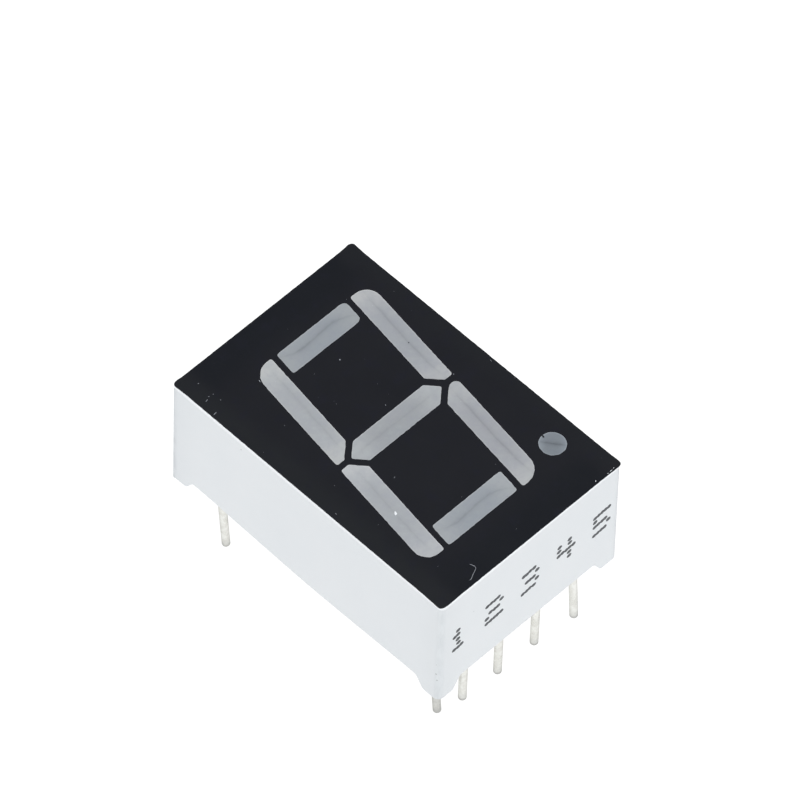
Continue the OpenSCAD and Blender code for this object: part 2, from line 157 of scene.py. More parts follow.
class Finish:
    """A Principled material. Its own sockets take plain numbers; set() links what varies."""

    def __init__(self, name, **numbers):
        self.material = bpy.data.materials.new(name)
        self.material.use_nodes = True
        self.tree = self.material.node_tree
        self.shader = self.tree.nodes["Principled BSDF"]
        self.set({socket.replace("_", " "): value for socket, value in numbers.items()})
        self.place = self.node("ShaderNodeTexCoord", output="Object")

    def set(self, sockets, node=None):
        """Gives each named socket of a node, or of the shader, its number, colour or link."""
        node = node or self.shader
        for key, value in sockets.items():
            if isinstance(value, Value):
                self.tree.links.new(value.socket, node.inputs[key])
            else:
                node.inputs[key].default_value = value

    def node(self, kind, settings=None, sockets=None, output=0):
        """Adds one node: its settings first, then its sockets. Returns that output."""
        node = self.tree.nodes.new(kind)
        for key, value in (settings or {}).items():
            setattr(node, key, value)
        self.set(sockets or {}, node)
        return Value(self, node.outputs[output])

    def math(self, operation, *values):
        """A Math node on sockets or numbers."""
        return self.node("ShaderNodeMath", {"operation": operation}, dict(enumerate(values)))

    def local(self, centre=(0, 0, 0), turn=0.0, size=(1, 1, 1)):
        """Object coordinates in millimetres from centre, along axes turned by turn, over size."""
        return self.node("ShaderNodeMapping", {"vector_type": "TEXTURE"}, {
            "Vector": self.place, "Location": [c * MM for c in centre], "Rotation": (0, 0, turn),
            "Scale": [s * MM for s in size],
        })

    def axes(self, vector):
        """The three numbers of a vector."""
        return [self.node("ShaderNodeSeparateXYZ", None, {0: vector}, output) for output in range(3)]

    def noise(self, at, scale, detail=2.0, roughness=0.5, distortion=0.0):
        """Soft noise from 0 to 1, scale features to a millimetre."""
        return self.node("ShaderNodeTexNoise", None, {
            "Vector": at, "Scale": scale, "Detail": detail, "Roughness": roughness,
            "Distortion": distortion,
        })

    def step(self, value, low, high):
        """0 at low and 1 at high, with a smooth step between."""
        return self.node("ShaderNodeMapRange", {"interpolation_type": "SMOOTHSTEP"}, {
            "Value": value, "From Min": low, "From Max": high,
        })

    def specks(self, at, scale, size, share):
        """Round specks of that size, in cells; only that share of the cells has one."""
        cells = {"Vector": at, "Scale": scale}
        distance = self.node("ShaderNodeTexVoronoi", None, cells, "Distance")
        chance = self.node("ShaderNodeSeparateColor", None, {
            0: self.node("ShaderNodeTexVoronoi", None, cells, "Color"),
        })
        return (1 - self.step(distance, size * 0.6, size)) * self.step(chance, 1 - share, 1 - share + 0.01)

    def mix(self, factor, a, b):
        """Colour a where factor is 0 and colour b where it is 1."""
        return self.node("ShaderNodeMix", {"data_type": "RGBA"}, {0: factor, 6: a, 7: b}, 2)

    def bump(self, height, depth):
        """Feeds the shader's normal from height, 0 to 1, where 1 stands depth millimetres proud."""
        self.set({"Normal": self.node("ShaderNodeBump", None, {"Height": height, "Distance": depth * MM})})


def srgb(red, green, blue, light=1.0):
    """A swatch in screen steps from 0 to 255 as a linear colour, times light."""
    steps = np.array([red, green, blue]) / 255
    linear = np.where(steps <= 0.04045, steps / 12.92, ((steps + 0.055) / 1.055) ** 2.4)
    return (*(linear * light).tolist(), 1.0)


def put(name, mesh, finish, replaced=(), sharp=40.0):
    """Adds a mesh in metres as a piece of the display: faces outwards, smooth up to the angle sharp."""
    skin = bmesh.new()
    skin.from_mesh(mesh)
    bmesh.ops.recalc_face_normals(skin, faces=skin.faces)
    skin.to_mesh(mesh)
    skin.free()
    mesh.shade_smooth()
    mesh.set_sharp_from_angle(angle=math.radians(sharp))
    mesh.materials.clear()
    mesh.materials.append(finish.material)
    piece = bpy.data.objects.new(name, mesh)
    scene.collection.objects.link(piece)
    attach(piece, "root")
    if replaced:
        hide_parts(*replaced)
    return piece


def low_high(node):
    """A CAD node's lowest and highest corner in millimetres."""
    low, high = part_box(node)
    return np.array(low) / MM, np.array(high) / MM


WELD = 1e-4 * MM         # points nearer than this are one
FOOT_H = 0.65
CORNER_R = 0.3
DRAFT = math.tan(math.radians(0.35))
# How far round two upright corners are filled out: which corner, and its fullness, 2 for a circle
FULL_CORNERS = (((-1, 1), 6.0), ((1, -1), 3.0))
# How much higher than drawn the edges of the left and the lower wall stand, and how much higher
# their feet do: the places along the wall, then the lifts there
LEFT_RUN = (
    (-7.8, -6.6, -4.8, -3.0, -1.2, 0.0, 1.5, 3.3, 4.8, 6.6, 7.9),
    (0.025, 0.008, -0.04, -0.10, -0.13, -0.135, -0.085, -0.01, 0.05, 0.15, 0.17))
LEFT_FEET = ((-9.5, -9.1, -8.5, 8.4, 9.2, 9.5), (-0.02, -0.09, -0.09, 0.09, 0.09, 0.0))
LOWER_RUN = ((-5, 0, 4.6), (0.155, 0.15, 0.14))
LOWER_FEET = ((-5.7, -5.2, 5.2, 6.3), (-0.02, -0.02, -0.07, -0.07))
# The left wall's near foot and the lower wall's right foot are this much longer: the middle and
# half width of the slope that moves, and how far
LEFT_SLOPE = (-8.35, 0.55, 0.14)
LOWER_SLOPE = (5.1, 0.5, -0.16)
INSIDE_LEFT, INSIDE_LOWER = -5.7, -8.85
LEFT_RUN_CUTS = 20
# Pits in the left wall: y, z and radius
PITS = ((-9.28, 8.12, 0.06), (-9.34, 7.61, 0.05), (-9.27, 8.92, 0.035), (4.62, 13.28, 0.05))

# The case starts as a copy of the CAD's, with its loose triangles joined and its flat faces whole
case_low, case_high = low_high("reflector_case")
FACE_HALF_X, FACE_HALF_Y = case_high[:2] - (case_high[2] - case_low[2]) * DRAFT
case_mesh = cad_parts["reflector_case"].data.copy()
if "custom_normal" in case_mesh.attributes:
    case_mesh.attributes.remove(case_mesh.attributes["custom_normal"])
shell = bmesh.new()
shell.from_mesh(case_mesh)
bmesh.ops.remove_doubles(shell, verts=shell.verts, dist=WELD)
bmesh.ops.dissolve_limit(shell, angle_limit=math.radians(0.5), verts=shell.verts, edges=shell.edges)
left_run = [
    edge for edge in shell.edges if edge.calc_length() > 12 * MM and all(
        end.co.x < INSIDE_LEFT * MM and abs(end.co.z / MM - case_low[2] - FOOT_H) < 0.02
        for end in edge.verts)
]
bmesh.ops.subdivide_edges(shell, edges=left_run, cuts=LEFT_RUN_CUTS)
shell.to_mesh(case_mesh)
shell.free()


def fuller_corner(points, sx, sy, fullness):
    """Moves an upright corner out: (a, b) from the middle of its arc becomes
    (a, b) / (u^n + v^n)^(1/n), where (u, v) is (a, b) at length 1 and n is the fullness."""
    radius = CORNER_R + (case_high[2] - points[:, 2]) * DRAFT
    a = sx * points[:, 0] - (FACE_HALF_X + (case_high[2] - points[:, 2]) * DRAFT - radius)
    b = sy * points[:, 1] - (FACE_HALF_Y + (case_high[2] - points[:, 2]) * DRAFT - radius)
    length = np.hypot(a, b)
    outer = (a > 0.001) & (b > 0.001) & (length > 0.7 * radius)
    u, v = a[outer] / length[outer], b[outer] / length[outer]
    more = 1 / (u ** fullness + v ** fullness) ** (1 / fullness) - 1
    points[outer, 0] += sx * a[outer] * more
    points[outer, 1] += sy * b[outer] * more


def true_up(points, rows, along, slope, run, feet):
    """Moves the lowest FOOT_H of one wall. The foot's slope goes along the wall, and all of it goes
    up by f (1 - t) + r t, where t is the height above the feet over FOOT_H, and f and r are the
    lifts of the feet and of the wall's edge at that place."""
    middle, half, shift = slope
    points[rows & (abs(points[:, along] - middle) < half), along] += shift
    t = np.clip((points[rows, 2] - case_low[2]) / FOOT_H, 0, 1)
    place = points[rows, along]
    points[rows, 2] += np.interp(place, *feet) * (1 - t) + np.interp(place, *run) * t


case_points = np.empty(len(case_mesh.vertices) * 3)
case_mesh.vertices.foreach_get("co", case_points)
case_points = case_points.reshape(-1, 3) / MM
for (sx, sy), fullness in FULL_CORNERS:
    fuller_corner(case_points, sx, sy, fullness)
low_part = case_points[:, 2] < case_low[2] + FOOT_H + 0.01
left_part = low_part & (case_points[:, 0] < INSIDE_LEFT)
lower_part = low_part & ~left_part & (case_points[:, 1] < INSIDE_LOWER)
true_up(case_points, left_part, 1, LEFT_SLOPE, LEFT_RUN, LEFT_FEET)
true_up(case_points, lower_part, 0, LOWER_SLOPE, LOWER_RUN, LOWER_FEET)
case_mesh.vertices.foreach_set("co", (case_points * MM).ravel())

plastic = Finish("white_plastic", Roughness=0.5, Specular_IOR_Level=0.4)
at = plastic.local()
x, y, z = plastic.axes(at)
cloud = plastic.noise(at, 0.35, 3)
grain = plastic.noise(at, 16, 3, 0.6)
on_left = plastic.step(x * -1, 0, 1)
to_corner = abs(abs(x) - case_high[0]) + abs(abs(y) - case_high[1])
# Painted shade on the upright corners: darkest at the corner and streaked up the wall
painted_corner_shade = (1 - plastic.step(to_corner, 0.10, 0.48)) * (
    0.35 + 0.65 * plastic.step(plastic.noise(plastic.local(size=(1, 1, 3)), 2.2, 4, 0.7), 0.38, 0.7))
parting = (1 - plastic.step(to_corner, 0.17, 0.24)) * plastic.step(
    plastic.noise(plastic.local(size=(1, 1, 2)), 1.1, 3, 0.7), 0.42, 0.6)
# Painted shade on the left wall, fading away from its corners
painted_left_corner_shade = (1 - plastic.step(to_corner, 0.2, 2.2)) * on_left
# A painted highlight: the walls are lighter just under the top edge
painted_edge_highlight = plastic.step(z, 13.67, 13.83) * (1 - plastic.step(z, 13.93, 13.97))
scuffs = plastic.specks(at, 1.5, 0.09, 0.07)
pinholes = plastic.specks(at, 3.1, 0.11, 0.06) * (1 - plastic.step(to_corner, 0.3, 1.2))
for pit_y, pit_z, pit_r in PITS:
    away = ((y - pit_y) ** 2 + (z - pit_z) ** 2) ** 0.5
    pinholes = pinholes + (1 - plastic.step(away, pit_r * 0.5, pit_r)) * on_left
body = plastic.mix(cloud, srgb(226, 230, 233), srgb(232, 235, 237))
# The corners darken with painted shade and the parting line; the left wall darkens with painted shade
body = plastic.mix(painted_corner_shade * 0.78 + parting * 0.35 + painted_left_corner_shade * 0.14, body, srgb(204, 209, 212))
body = plastic.mix(painted_edge_highlight, body, srgb(246, 249, 251))
body = plastic.mix(scuffs * 0.55, body, srgb(170, 176, 180))
body = plastic.mix(pinholes * 0.7, body, srgb(140, 144, 142))
plastic.set({
    "Base Color": body,
    "Roughness": 0.46 + cloud * 0.1,
})
plastic.bump(grain * 0.7 + cloud * 0.3, 0.006)
case_piece = put("moulded_case", case_mesh, plastic, ("reflector_case",), sharp=32)
flat_walls = case_piece.modifiers.new("flat_walls", "WEIGHTED_NORMAL")
flat_walls.keep_sharp = True

# ==== Ink ====
# Satin black ink screened over the whole face after moulding, with the light wells left open.
# It is a few hundredths thick, its edges are a little frayed, and it has a fine orange peel.
INK_DROP = 0.012         # how far the film's edges are rounded off
OUTLINE_GAP = 0.05
RIM_FRAY, WINDOW_FRAY = 0.003, 0.005
CREEP_REACH = 6          # the running mean takes this many neighbours on each side
# At each corner, from the upper right one round to the lower right: the film's reach past the face
# in x and in y, how much of the corner it leaves bare along x and along y, how full it is, and how
# thickly and how far round it the ink has built up
INK_CORNERS = [
    ((1, 1), (0.035, 0.078), (0.34, 0.18), 2.3, (0.045, 0.5)),
    ((-1, 1), (0.015, 0.042), (0.45, 0.40), 4.2, (0.045, 0.45)),
    ((-1, -1), (0.045, 0.018), (0.50, 0.20), 2.1, (0.025, 0.9)),
    ((1, -1), (0.055, 0.045), (0.30, 0.22), 3.0, (0.02, 0.8)),
]
# How far each window stands right of its well and above it, and how much wider and taller it is
WINDOW_OFFSETS = {
    "segment_a": (0.089, 0.115, 0.057, -0.020), "segment_b": (0.086, 0.059, 0.017, 0.018),
    "segment_c": (0.084, 0.060, 0.014, 0.031), "segment_d": (0.072, 0.068, 0.047, -0.037),
    "segment_e": (0.095, 0.096, 0.004, -0.004), "segment_f": (0.102, 0.097, -0.045, 0.061),
    "segment_g": (0.067, 0.062, -0.001, -0.031), "decimal_point": (-0.006, 0.0, -0.020, 0.005),
}
# Window corners that the ink has crept into: x, y and how far round the corner it reaches
CREPT_CORNERS = {
    "segment_a": ((3.42, 7.18, 0.27), (3.23, 5.77, 0.15)), "segment_c": ((4.08, -0.24, 0.6),),
}
LETTERS = "abcdefg"
WELL_NODES = [f"segment_{letter}" for letter in LETTERS] + ["decimal_point"]


def vertices(node):
    """All vertices of a CAD node, in millimetres."""
    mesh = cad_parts[node].data
    found = np.empty(len(mesh.vertices) * 3)
    mesh.vertices.foreach_get("co", found)
    return found.reshape(-1, 3) / MM


def hull(points):
    """The convex outline of flat points, counterclockwise."""
    return points[geometry.convex_hull_2d([Vector(p) for p in points])]


def spaced(outline, gap):
    """The closed outline walked at equal steps of about gap: x and y as functions of its length."""
    closed = np.vstack([outline, outline[:1]])
    length = np.concatenate([[0], np.cumsum(np.hypot(*np.diff(closed, axis=0).T))])
    steps = np.linspace(0, length[-1], max(12, round(length[-1] / gap)), endpoint=False)
    return np.column_stack([np.interp(steps, length, closed[:, axis]) for axis in (0, 1)])


def circle(centre, radius, count):
    """centre + radius * (cos t, sin t), t over a full turn."""
    turn = np.linspace(0, 2 * np.pi, count, endpoint=False)
    return np.array(centre) + radius * np.column_stack([np.cos(turn), np.sin(turn)])


def ripple(count, waves, seed):
    """A closed random line: the sum of sines with 1 to waves crests, scaled to a spread of 1."""
    dice = np.random.default_rng(seed)
    crests = np.arange(1, waves + 1)
    turn = np.linspace(0, 2 * np.pi, count, endpoint=False)
    line = (dice.normal(size=waves) * np.sin(turn[:, None] * crests + dice.uniform(0, 6.3, waves))).sum(1)
    return line / line.std()


def outward(outline):
    """The unit normal at each point of a counterclockwise outline: its tangent turned right."""
    tangent = np.roll(outline, -1, axis=0) - np.roll(outline, 1, axis=0)
    tangent /= np.hypot(*tangent.T)[:, None]
    return np.column_stack([tangent[:, 1], -tangent[:, 0]])


def frayed(outline, depth, seed):
    """The outline moved along its normals by depth times a ripple, a crest every 0.35 mm or so."""
    fine = spaced(outline, OUTLINE_GAP)
    return fine + outward(fine) * (depth * ripple(len(fine), len(fine) // 7, seed))[:, None]


def well_outline(node):
    """The outline of a light well at the face; the decimal point's is a true circle."""
    low, high = low_high(node)
    if node == "decimal_point":
        return circle((low + high)[:2] / 2, (high - low)[0] / 2, 96)
    points = vertices(node)
    return hull(points[points[:, 2] > high[2] - 0.01][:, :2])


def window(node, gap):
    """The well's outline in steps of gap, moved by its offset and grown along its normals."""
    offset, growth = np.array(WINDOW_OFFSETS[node]).reshape(2, 2)
    outline = spaced(wells[node], gap)
    return outline + outward(outline) * growth / 2 + offset


def crept_window(node):
    """The window, drawn towards its own running mean at the corners that the ink has crept into."""
    outline = window(node, OUTLINE_GAP)
    shifts = range(-CREEP_REACH, CREEP_REACH + 1)
    for corner_x, corner_y, reach in CREPT_CORNERS.get(node, ()):
        mean = sum(np.roll(outline, shift, axis=0) for shift in shifts) / len(shifts)
        pull = np.exp(-(np.hypot(outline[:, 0] - corner_x, outline[:, 1] - corner_y) / reach) ** 2)
        outline = outline + (mean - outline) * pull[:, None]
    return outline


def blunted_box(half_x, half_y, corners, count=9):
    """A box with corners (cut_x cos^k t, cut_y sin^k t), where k is 2 / fullness, counterclockwise.

    Near each corner the outline is then moved out by depth exp(-(r / spread)^2), r from the corner."""
    outline = []
    for (sx, sy), (reach_x, reach_y), (cut_x, cut_y), fullness, _ in corners:
        t = np.linspace(0, np.pi / 2, count)[::sx * sy]
        across = cut_x * (np.abs(np.cos(t)) ** (2 / fullness) - 1)
        beside = cut_y * (np.abs(np.sin(t)) ** (2 / fullness) - 1)
        outline.append(np.column_stack([sx * (half_x + reach_x + across), sy * (half_y + reach_y + beside)]))
    outline = spaced(np.vstack(outline), OUTLINE_GAP)
    for (sx, sy), _, _, _, (depth, spread) in corners:
        away = np.hypot(outline[:, 0] - sx * half_x, outline[:, 1] - sy * half_y)
        outline = outline + outward(outline) * (depth * np.exp(-(away / spread) ** 2))[:, None]
    return outline


ink_low, ink_high = low_high("face_ink")
wells = {node: well_outline(node) for node in WELL_NODES}
ink_rim = blunted_box(ink_high[0], ink_high[1], INK_CORNERS)
outlines = [frayed(ink_rim, RIM_FRAY, 1)]
outlines += [frayed(crept_window(node), WINDOW_FRAY, seed) for seed, node in enumerate(WELL_NODES, 2)]

film = bpy.data.curves.new("film", "CURVE")
film.dimensions = "2D"
film.fill_mode = "BOTH"
film.extrude = (ink_high[2] - ink_low[2]) / 2 - INK_DROP
film.bevel_depth = INK_DROP
film.bevel_resolution = 1
film.offset = -INK_DROP
for outline in outlines:
    spline = film.splines.new("POLY")
    spline.points.add(len(outline) - 1)
    spline.points.foreach_set("co", np.column_stack([outline, np.zeros((len(outline), 2))]).ravel())
    spline.use_cyclic_u = True
film_object = bpy.data.objects.new("film", film)
ink_mesh = bpy.data.meshes.new_from_object(film_object)
ink_mesh.transform(Matrix.Scale(MM, 4) @ Matrix.Translation((0, 0, (ink_low[2] + ink_high[2]) / 2)))
bpy.data.objects.remove(film_object)
joined = bmesh.new()
joined.from_mesh(ink_mesh)
bmesh.ops.remove_doubles(joined, verts=joined.verts, dist=WELD)
joined.to_mesh(ink_mesh)
joined.free()

ink = Finish("black_ink", Specular_IOR_Level=0.265)
at = ink.local()
x, y, _ = ink.axes(at)
left_rim = ink.step(x * -1, 4.6, 6.0)
right_rim = ink.step(x, 5.0, 6.2)
ends = ink.step(abs(y), 7.0, 8.6) * ink.step(abs(x) * -1, -5.6, -4.6)
peel = ink.noise(at, 7, 2)
pores = ink.noise(at, 30, 2, 0.6)
haze = ink.noise(at, 0.45, 3, 0.6)
dust = ink.specks(at, 2.4, 0.10, 0.05)
black = ink.mix(haze, srgb(8, 10, 18), srgb(11, 13, 21))
black = ink.mix(left_rim * 0.8 + right_rim * 0.4, black, srgb(18, 21, 25))
black = ink.mix(ends * 0.9, black, srgb(1, 5, 15))
black = ink.mix(ink.step(ink.noise(at, 5.5, 3, 0.75), 0.55, 0.8) * 0.35, black, srgb(27, 28, 35))
black = ink.mix(ink.step(ink.noise(at, 1.3, 3, 0.6), 0.5, 0.75) * 0.5, black, srgb(9, 11, 26))
black = ink.mix(dust * 0.4, black, srgb(84, 88, 98))
ink.set({
    "Base Color": black,
    "Roughness": 0.34 + haze * 0.12 + pores * 0.06,
})
ink.bump(peel * 0.6 + pores * 0.4, 0.004)
put("face_film", ink_mesh, ink, ("face_ink",), sharp=20)

# ==== Castings ====
# Each light well is filled from behind with milky epoxy that spreads the light of its chip.
# The resin shrinks a little as it cures, so its front dips between its edges. A soft dark fold line on
# the front is painted shade, and a light line round its edge is a painted highlight.
CASTING_EDGE = 13.968    # height of the front at its edge
CASTING_SINK = 0.016     # how far its middle dips
CASTING_GAP = 0.045
SLANT = math.tan(math.radians(8))
ROOT_H = 0.25            # the straight run at the board
LIP_H = 0.5              # the straight run under the ink
HIGHLIGHT_SHARE = 0.09        # how far in the painted highlight at the edge reaches
CASTING_STEPS = (1.0, 0.985, 0.96, 0.93, 0.89, 0.82, 0.72, 0.6, 0.45, 0.3, 0.15, 0.04)
POINT_TURN = -52         # degrees from +X to the fold in the decimal point
UPRIGHT_TURN = 82        # and in an upright segment


def sheared(points, amount):
    """x + amount * y, y."""
    return np.column_stack([points[:, 0] + amount * points[:, 1], points[:, 1]])


def sleeve(rings, sides):
    """Faces between closed rings of points, each ring joined to the next, with both ends capped."""
    ring, side = np.meshgrid(np.arange(rings - 1), np.arange(sides), indexing="ij")
    here = ring * sides + side
    beside = ring * sides + (side + 1) % sides
    quads = np.stack([here, beside, beside + sides, here + sides], axis=-1).reshape(-1, 4)
    last = (rings - 1) * sides
    return [*quads.tolist(), list(range(sides))[::-1], list(range(last, last + sides))]


def mesh_of(name, points, faces):
    """A mesh from points in millimetres."""
    mesh = bpy.data.meshes.new(name)
    mesh.from_pydata((np.asarray(points) * MM).tolist(), [], faces)
    return mesh


def middle_size(points):
    """Middle and size of the box around flat points."""
    low, high = points.min(0), points.max(0)
    return (low + high) / 2, high - low


def casting(node, slant):
    """A closed casting in its well, from rings of one outline.

    The lower rings are the well's outline scaled to the opening at the board. Over the face the
    casting has run out to the window in the ink. The upper rings are m + t (p - m), where m is the
    nearest point to p on the middle line and t falls from 1 to almost 0; their height is
    edge - sink (1 - t^3)."""
    points = vertices(node)
    board_z, face_z = points[:, 2].min(), points[:, 2].max()
    straight = sheared(spaced(wells[node], CASTING_GAP), -slant)
    shown = sheared(window(node, CASTING_GAP), -slant)
    at_board = sheared(hull(points[points[:, 2] < board_z + 0.01][:, :2]), -slant)
    middle, size = middle_size(straight)
    shown_middle, shown_size = middle_size(shown)
    board_middle, board_size = middle_size(at_board)
    lowest = board_middle + (straight - middle) * board_size / size
    reach = np.maximum(shown_size - shown_size.min(), 0) / 2
    spine = shown_middle + np.clip(shown - shown_middle, -reach, reach)
    flat = [lowest, lowest, straight, straight]
    height = [board_z, board_z + ROOT_H, face_z - LIP_H, ink_low[2] - 0.001]
    edge = [0, 0, 0, 0]
    for t in CASTING_STEPS:
        flat.append(spine + t * (shown - spine))
        height.append(CASTING_EDGE - CASTING_SINK * (1 - t ** 3))
        edge.append(max(0.0, 1 - (1 - t) / HIGHLIGHT_SHARE))
    count = len(straight)
    rings = np.dstack([
        np.array([sheared(ring, slant) for ring in flat]),
        np.repeat(np.array(height)[:, None], count, 1),
    ])
    mesh = mesh_of(node, rings.reshape(-1, 3), sleeve(len(rings), count))
    # The edge attribute weights the painted highlight round the casting's front
    rim_highlight = mesh.attributes.new("edge", "FLOAT", "POINT")
    rim_highlight.data.foreach_set("value", np.repeat(edge, count))
    return mesh, shown_middle, shown_size


def tinted(tone, red, green, blue):
    """A swatch with each of its steps moved, up to full white."""
    return srgb(*np.minimum(np.add(tone, (red, green, blue)), 255))


# Each casting: the tones of its middle and of its ends, how much paler the end towards +u is, the line
# of the painted shade along the fold, v(u) = k0 + k1 u + k2 u^2 + k3 u^3 in halves of the well, and how dark
# that shade is
CASTINGS = {
    "segment_a": ((144, 149, 154), (150, 154, 157), 0.0, (0.22, 0.42, -0.10, -1.12), 0.14),
    "segment_b": ((154, 157, 161), (173, 174, 175), 0.25, (-0.14, 0.03, -0.16, 0.05), 0.11),
    "segment_c": ((155, 157, 161), (170, 172, 173), -0.15, (-0.12, 0.06, -0.16, 0.08), 0.13),
    "segment_d": ((146, 151, 156), (156, 160, 163), 0.0, (0.12, 0.40, -0.25, -1.15), 0.12),
    "segment_e": ((160, 163, 166), (178, 180, 182), 0.35, (0.0, 0.02, -0.12, 0.05), 0.07),
    "segment_f": ((160, 163, 166), (177, 179, 179), 0.2, (-0.34, 0.0, 0.02, 0.0), 0.07),
    "segment_g": ((151, 154, 157), (167, 170, 172), 0.0, (0.03, 0.0, 0.0, 0.0), 0.06),
    "decimal_point": ((121, 127, 133), (133, 140, 147), 0.0, (0.02, 0.0, 0.0, 0.0), 0.22),
}
for number, node in enumerate(WELL_NODES):
    middle_tone, end_tone, tilt, (k0, k1, k2, k3), fold_shade_depth = CASTINGS[node]
    is_point = node == "decimal_point"
    slant = 0 if is_point else SLANT
    mesh, middle, size = casting(node, slant)
    upright = size[1] > size[0] * 1.5
    centre = (middle[0] + slant * middle[1], middle[1], 0)
    turn = math.radians(UPRIGHT_TURN if upright else POINT_TURN if is_point else 0.0)
    half = (size.max() / 2, size.min() / 2, 1)
    resin = Finish(f"milky_epoxy_{number}", Roughness=0.3, Specular_IOR_Level=0.45, Coat_Roughness=0.12)
    at = resin.local(centre)
    u, v, _ = resin.axes(resin.local(centre, turn, half))
    wander = resin.noise(resin.local(centre, turn, (1.6, 0.8, 1)), 1.3, 2) - 0.5
    line = k0 + u * (k1 + u * (k2 + u * k3)) + wander * 0.35
    ragged = resin.noise(resin.local(centre, turn, (0.5, 0.25, 1)), 1.4, 3, 0.6) - 0.5
    off_line = v - line - ragged * 0.2
    # A painted shade line along the fold: a narrow core and a wider spread around the line v(u)
    fold_shade_core = 1 / (1 + (off_line / 0.08) ** 2)
    fold_shade_spread = 1 / (1 + (off_line / 0.32) ** 2)
    length = 1 - resin.step(abs(u), 0.35, 1.0)
    cloud = resin.noise(at, 1.1, 3, 0.55, 0.4)
    ends = resin.step(abs(u) + wander * 0.3, 0.3, 0.95)
    ends = ends * ((1 - abs(tilt) / 2) + u * (tilt / 2))
    flow = resin.noise(at, 3.2, 4, 0.6, 0.6)
    rim_highlight = resin.node("ShaderNodeAttribute", {"attribute_name": "edge"}, None, "Fac")
    # How dark the painted fold shade is, fainter towards the ends
    painted_fold_shade = (fold_shade_core * (0.5 + ragged) * 1.2 + fold_shade_spread * 0.4) * (0.25 + length * 0.75) * fold_shade_depth * 4.0
    tone = resin.mix(ends, srgb(*middle_tone), srgb(*end_tone))
    tone = resin.mix(resin.step(cloud, 0.35, 0.75) * 0.35, tone, tinted(middle_tone, -9, -7, -3))
    tone = resin.mix(resin.step(flow, 0.48, 0.7) * 0.25, tone, tinted(middle_tone, -9, -11, -3))
    tone = resin.mix(resin.step(1 - flow, 0.5, 0.75) * 0.2, tone, tinted(end_tone, 0, 6, 4))
    tone = resin.mix(painted_fold_shade, tone, tinted(middle_tone, -34, -34, -34))
    # A painted highlight along the edge of the front
    tone = resin.mix(rim_highlight * 0.62, tone, tinted(end_tone, 30, 30, 30))
    tone = resin.mix(resin.specks(at, 3.3, 0.09, 0.05) * 0.3, tone, srgb(205, 209, 214))
    resin.set({
        "Base Color": tone,
        "Roughness": 0.26 + cloud * 0.12,
        "Coat Weight": 0.35 + cloud * 0.2,
    })
    resin.bump(resin.noise(at, 2.5, 2) * 0.7 + resin.noise(at, 14, 2) * 0.3, 0.006)
    put(f"casting_{node}", mesh, resin, (node,), sharp=60)

# ==== Pins ====
# Ten tinned steel wires, headed over in the board. Handling has bent the first, the fifth and the tenth,
# and nudged the fourth. The tin is warm white and mottled; painted shade greys each tip and the low end of
# the first pin.
PIN_PITCH = 2.54
ROW_HALF = 7.62
PIN_R = 0.225
PIN_ROOT_R = 0.24        # where it comes out of the board
PIN_HEAD_R = 0.4
PIN_TIP_R = 0.12         # rounding of its end
PIN_SIDES = 32
BEND_R = 0.5
KNEE_L = 1.9             # from a bend at the wall's edge to the next one
WALL_Z = 6.65            # where the pins come out past the walls
# The bent pins: heading of the bend, lean down to the knee and lean beyond it, in degrees
BENDS = {1: (19, 18.5, 7), 4: (-45, 2.2, 0), 5: (-64, 2.9, 2.9), 10: (-2, 9.8, 4.2)}
SHORT_PIN = 2
SHORTER = {1: 0.06, SHORT_PIN: 0.26}
copper_top = low_high("copper_tracks")[1][2]
# Pins 1 to 5 run along the lower row, and 6 to 10 back along the upper one
pin_places = np.array(
    [((number - 3) * PIN_PITCH, -ROW_HALF) for number in range(1, 6)]
    + [((8 - number) * PIN_PITCH, ROW_HALF) for number in range(6, 11)]
)


def pin_rings(node, heading, root, tip, shorter):
    """A round wire swept down a line that leans by root degrees and, after a knee, by tip degrees.

    Down the free run the lean changes evenly over each bend, and the middle line is the sum of
    (sin lean, -cos lean) steps. At the end the radius follows a quarter circle."""
    head_top = low_high(node)[1][2]
    lean_root, lean_tip = math.radians(root), math.radians(tip)
    arcs = [BEND_R * lean_root, BEND_R * abs(lean_tip - lean_root)]
    free = WALL_Z - PIN_TIP_R - shorter
    marks = np.array([0, arcs[0], arcs[0] + KNEE_L, arcs[0] + KNEE_L + arcs[1], free])
    if root == 0:
        walk = np.linspace(0, free, 40)
        lean = np.zeros(40)
    else:
        walk = np.unique(np.concatenate([np.linspace(a, b, 9) for a, b in zip(marks, marks[1:])]))
        lean = np.interp(walk, marks, [0, lean_root, lean_root, lean_tip, lean_tip])
    step = np.diff(walk, prepend=0)
    mid = (lean + np.concatenate([[0], lean[:-1]])) / 2
    out = np.cumsum(step * np.sin(mid))
    down = WALL_Z - np.cumsum(step * np.cos(mid))
    ball = np.linspace(0, np.pi / 2, 6)[1:]
    tail = PIN_TIP_R * np.sin(ball)
    out = np.concatenate([[0, 0, 0, 0], out, out[-1] + tail * math.sin(lean[-1])])
    down = np.concatenate([
        [head_top, copper_top, copper_top, WALL_Z + 0.6], down, down[-1] - tail * math.cos(lean[-1]),
    ])
    radius = np.concatenate([
        [PIN_HEAD_R, PIN_HEAD_R, PIN_ROOT_R, PIN_R + 0.004], np.full(len(walk), PIN_R),
        PIN_R - PIN_TIP_R * (1 - np.cos(ball)),
    ])
    lean = np.concatenate([[0, 0, 0, 0], lean, np.full(5, lean[-1])])
    turn = np.linspace(0, 2 * np.pi, PIN_SIDES, endpoint=False)
    across = radius[:, None] * np.cos(turn)
    beside = radius[:, None] * np.sin(turn)
    a = math.radians(heading)
    outwards = out[:, None] + across * np.cos(lean)[:, None]
    return np.dstack([
        outwards * math.cos(a) - beside * math.sin(a), outwards * math.sin(a) + beside * math.cos(a),
        down[:, None] + across * np.sin(lean)[:, None],
    ])


